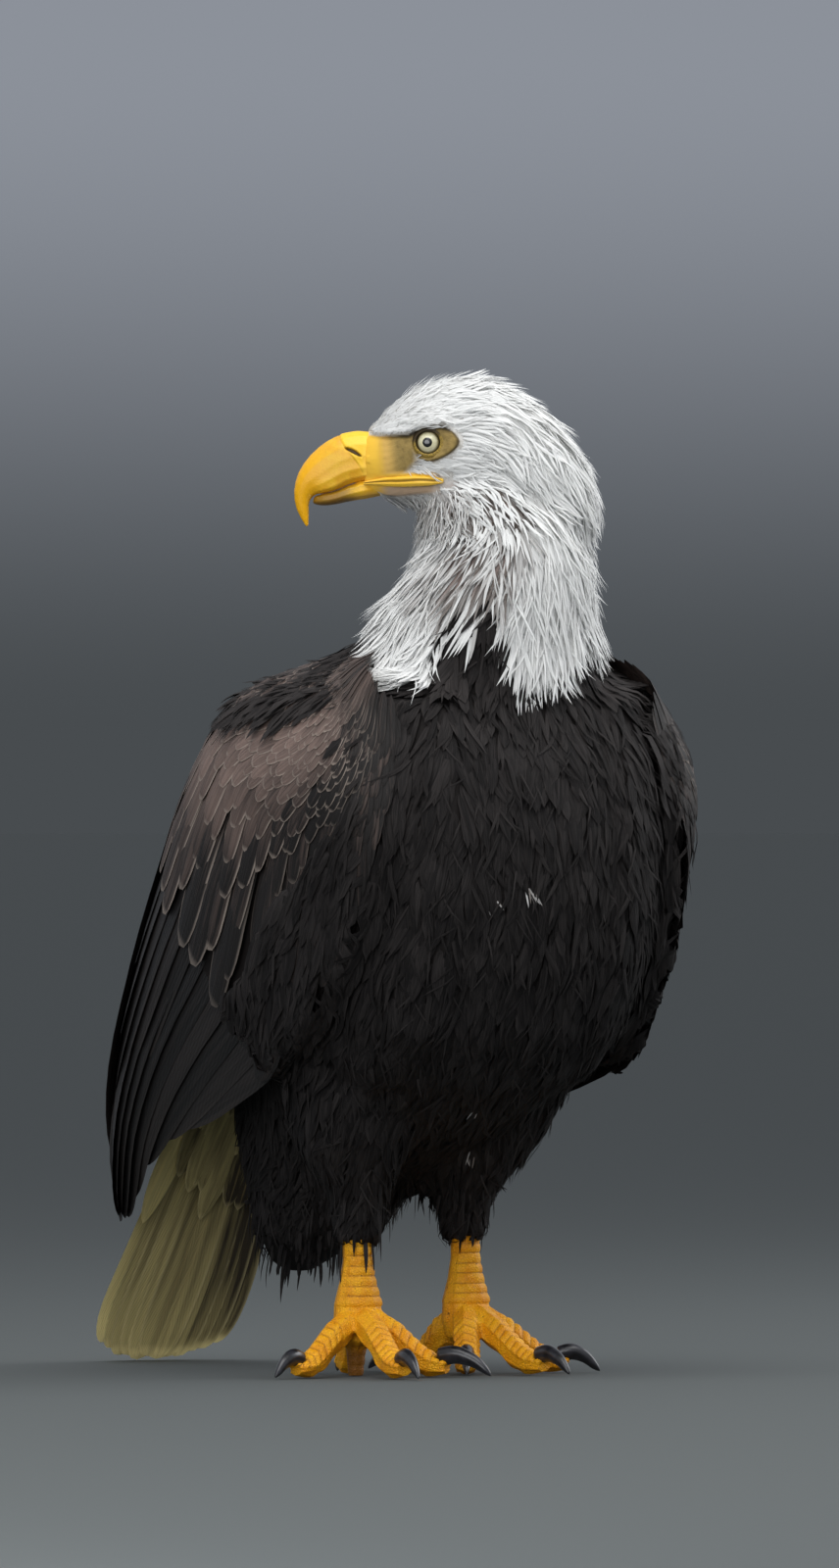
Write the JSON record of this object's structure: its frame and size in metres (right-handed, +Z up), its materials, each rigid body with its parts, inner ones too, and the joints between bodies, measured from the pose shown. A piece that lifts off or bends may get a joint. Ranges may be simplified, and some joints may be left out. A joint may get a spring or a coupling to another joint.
{
  "type": "bald eagle",
  "caption": "Adult bald eagle standing with folded wings, head turned over its right shoulder, tail tip resting on the floor.",
  "frame": {"origin": "middle of the bird's own box, on the floor that it stands on", "axes": "+Z up; the breast faces -Y and the tail lies towards +Y; the bird's left wing is on +X, and its head is turned towards -X"},
  "size_m": [0.2824, 0.5544, 0.6365],
  "materials": {
    "plumage_white": "soft white feathers",
    "plumage_tail": "soiled cream white feathers",
    "plumage_dark": "soft black-brown feathers",
    "wing_coverts": "brown feathers with pale rims",
    "flight_feathers": "smooth dark flight feathers",
    "bill": "smooth yellow horn",
    "gape": "soft yellow skin",
    "eye": "glossy pale yellow iris with a black pupil",
    "claw": "glossy black horn",
    "foot_skin": "scaly orange-yellow skin"
  },
  "bodies": {
    "root": {"bill_lower": "bill", "bill_upper": "bill", "claw_hind_left": "claw", "claw_hind_right": "claw", "claw_inner_left": "claw", "claw_inner_right": "claw", "claw_middle_left": "claw", "claw_middle_right": "claw", "claw_outer_left": "claw", "claw_outer_right": "claw", "eye_left": "eye", "eye_right": "eye", "gape_left": "gape", "gape_right": "gape", "head": "plumage_white", "neck": "plumage_white", "tail": "plumage_tail", "tarsus_left": "foot_skin", "tarsus_right": "foot_skin", "thigh_left": "plumage_dark", "thigh_right": "plumage_dark", "toe_hind_left": "foot_skin", "toe_hind_right": "foot_skin", "toe_inner_left": "foot_skin", "toe_inner_right": "foot_skin", "toe_middle_left": "foot_skin", "toe_middle_right": "foot_skin", "toe_outer_left": "foot_skin", "toe_outer_right": "foot_skin", "trunk": "plumage_dark", "wing_coverts_left": "wing_coverts", "wing_coverts_right": "wing_coverts", "wing_primaries_left": "flight_feathers", "wing_primaries_right": "flight_feathers", "wing_secondaries_left": "flight_feathers", "wing_secondaries_right": "flight_feathers"}
  },
  "joints": []
}
